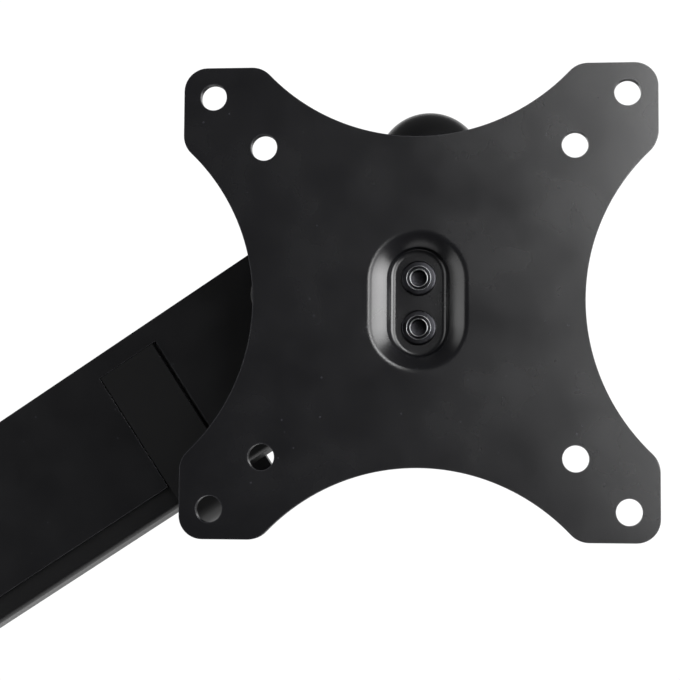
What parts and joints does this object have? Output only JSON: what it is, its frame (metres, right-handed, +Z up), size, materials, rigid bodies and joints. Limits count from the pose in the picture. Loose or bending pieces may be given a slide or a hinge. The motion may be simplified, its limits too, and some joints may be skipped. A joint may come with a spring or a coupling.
{
  "type": "monitor arm",
  "caption": "Gas-spring monitor arm on a desk clamp: a swivelling lower arm, a levelled lifting arm with cable clips, and a swivel, tilt and rotate head with a pressed steel monitor plate.",
  "frame": {"origin": "on the desk top, under the post's axis, where the foot's pad rests", "axes": "+Z up along the post; the monitor plate faces -Y and leans back 7 degrees; the lifting arm leads towards +X"},
  "size_m": [0.3633, 0.3648, 0.4664],
  "materials": {
    "powder_coated_steel": "satin black powder coat on steel sheet",
    "powder_coated_aluminium": "satin black powder coat on die-cast aluminium",
    "zinc_plated_steel": "zinc-plated turned steel",
    "black_oxide_steel": "black oxide on turned steel",
    "black_nylon": "black moulded nylon",
    "acetal": "natural acetal",
    "rubber": "black rubber sheet",
    "chromed_rod": "hard chromed rod",
    "painted_tube": "black painted steel tube"
  },
  "bodies": {
    "base": {"foot_pad": "rubber", "foot_plate": "powder_coated_steel", "post": "powder_coated_aluminium", "post_bolt": "zinc_plated_steel", "clamp_upright": "powder_coated_steel", "clamp_bolts": "black_oxide_steel", "clamp_nut": "zinc_plated_steel", "post_retainer": "zinc_plated_steel"},
    "clamp_pad": {"clamp_plate": "powder_coated_steel", "clamp_liner": "rubber"},
    "clamp_drive": {"clamp_screw": "zinc_plated_steel", "clamp_handle": "black_nylon"},
    "lower_arm": {"lower_arm_beam": "powder_coated_aluminium", "lower_arm_cover": "black_nylon", "lower_arm_clips": "black_nylon", "post_bushes": "acetal", "elbow_bushes": "acetal", "post_cap": "black_nylon", "elbow_bottom_cap": "black_nylon", "hub_set_screws": "black_oxide_steel"},
    "elbow": {"rear_knuckle": "powder_coated_aluminium", "elbow_stem": "zinc_plated_steel", "elbow_washer": "acetal", "elbow_cap": "black_nylon", "elbow_retainer": "zinc_plated_steel", "rear_pivot_pins": "zinc_plated_steel"},
    "upper_arm": {"upper_arm_shell": "powder_coated_aluminium", "upper_arm_cover": "black_nylon", "front_cable_clip": "black_nylon", "rear_cable_clip": "black_nylon", "shell_bushes": "acetal", "pivot_caps": "black_nylon", "tension_bracket": "zinc_plated_steel"},
    "tension_drive": {"tension_screw": "black_oxide_steel"},
    "spring_anchor": {"tension_carriage": "zinc_plated_steel"},
    "link": {"lower_link": "powder_coated_steel"},
    "gas_rod": {"gas_spring_rod": "chromed_rod", "gas_spring_eye": "black_oxide_steel"},
    "gas_tube": {"gas_spring_cylinder": "painted_tube", "gas_spring_gland": "zinc_plated_steel", "gas_spring_saddle": "black_oxide_steel"},
    "front_joint": {"front_knuckle": "powder_coated_aluminium", "front_pivot_pins": "zinc_plated_steel", "swivel_bushes": "acetal"},
    "head": {"head_yoke": "powder_coated_steel", "swivel_bolt": "zinc_plated_steel", "swivel_washers": "zinc_plated_steel", "swivel_nut": "zinc_plated_steel", "swivel_cap": "black_nylon", "tilt_bolt": "black_oxide_steel", "tilt_nut": "zinc_plated_steel", "tilt_washers": "acetal"},
    "tilt": {"tilt_bracket": "powder_coated_steel", "tilt_spacer": "zinc_plated_steel", "hub_washer": "acetal"},
    "plate": {"plate_hub": "black_oxide_steel", "rotation_spring_washer": "zinc_plated_steel", "rotation_nut": "zinc_plated_steel", "plate_rivets": "black_oxide_steel", "vesa_plate": "powder_coated_steel"}
  },
  "joints": [
    {"name": "base_swivel", "type": "hinge", "parent": "base", "child": "lower_arm", "pos_m": [0, 0, 0.09], "axis": [0, 0, 1], "range_deg": [-90, 90]},
    {"name": "elbow_swivel", "type": "hinge", "parent": "lower_arm", "child": "elbow", "pos_m": [0, -0.23, 0.11], "axis": [0, 0, 1], "range_deg": [-151, 53]},
    {"name": "arm_lift", "type": "hinge", "parent": "elbow", "child": "upper_arm", "pos_m": [0.03192, -0.23223, 0.1433], "axis": [-0.0698, -0.9976, 0], "range_deg": [-51, 12]},
    {"name": "link_pivot", "type": "hinge", "parent": "elbow", "child": "link", "pos_m": [0.03192, -0.23223, 0.1253], "axis": [-0.0698, -0.9976, 0], "range_deg": [-52, 13]},
    {"name": "spring_pivot", "type": "hinge", "parent": "elbow", "child": "gas_rod", "pos_m": [0.03192, -0.23223, 0.1253], "axis": [-0.0698, -0.9976, 0], "range_deg": [-52, 13]},
    {"name": "spring_stroke", "type": "slide", "parent": "gas_rod", "child": "gas_tube", "axis": [0.7846, -0.0549, 0.6176], "range_m": [-0.016, 0.005]},
    {"name": "front_level", "type": "hinge", "parent": "upper_arm", "child": "front_joint", "pos_m": [0.22016, -0.2454, 0.26584], "axis": [-0.0698, -0.9976, 0], "range_deg": [-13, 52]},
    {"name": "head_swivel", "type": "hinge", "parent": "front_joint", "child": "head", "pos_m": [0.25807, -0.24805, 0.26164], "axis": [0, 0, 1], "range_deg": [-10, 182]},
    {"name": "head_tilt", "type": "hinge", "parent": "head", "child": "tilt", "pos_m": [0.25807, -0.28105, 0.26164], "axis": [1, 0, 0], "range_deg": [-28, 27]},
    {"name": "plate_rotation", "type": "hinge", "parent": "tilt", "child": "plate", "pos_m": [0.25807, -0.30288, 0.26432], "axis": [0, -0.9925, 0.1219], "range_deg": [-90, 90]},
    {"name": "clamp_travel", "type": "slide", "parent": "base", "child": "clamp_pad", "axis": [0, 0, 1], "range_m": [-0.02, 0.02]},
    {"name": "clamp_turn", "type": "hinge", "parent": "clamp_pad", "child": "clamp_drive", "pos_m": [0, 0, -0.09], "axis": [0, 0, 1], "range_deg": [-3650, 3650]},
    {"name": "tension_turn", "type": "hinge", "parent": "upper_arm", "child": "tension_drive", "pos_m": [0.1959, -0.2437, 0.25005], "axis": [0.8366, -0.0585, 0.5446], "range_deg": [-10, 2320]},
    {"name": "tension_travel", "type": "slide", "parent": "upper_arm", "child": "spring_anchor", "axis": [0.8366, -0.0585, 0.5446], "range_m": [0, 0.008]}
  ],
  "couplings": [
    {"joint": "link_pivot", "follows": "arm_lift", "ratio": 1},
    {"joint": "front_level", "follows": "arm_lift", "ratio": -1},
    {"joint": "spring_pivot", "follows": "arm_lift", "ratio": 0.97},
    {"joint": "spring_stroke", "follows": "arm_lift", "m_per_rad": 0.016616},
    {"joint": "clamp_turn", "follows": "clamp_travel", "rad_per_m": 3141.6},
    {"joint": "tension_turn", "follows": "tension_travel", "rad_per_m": 5026.5}
  ]
}
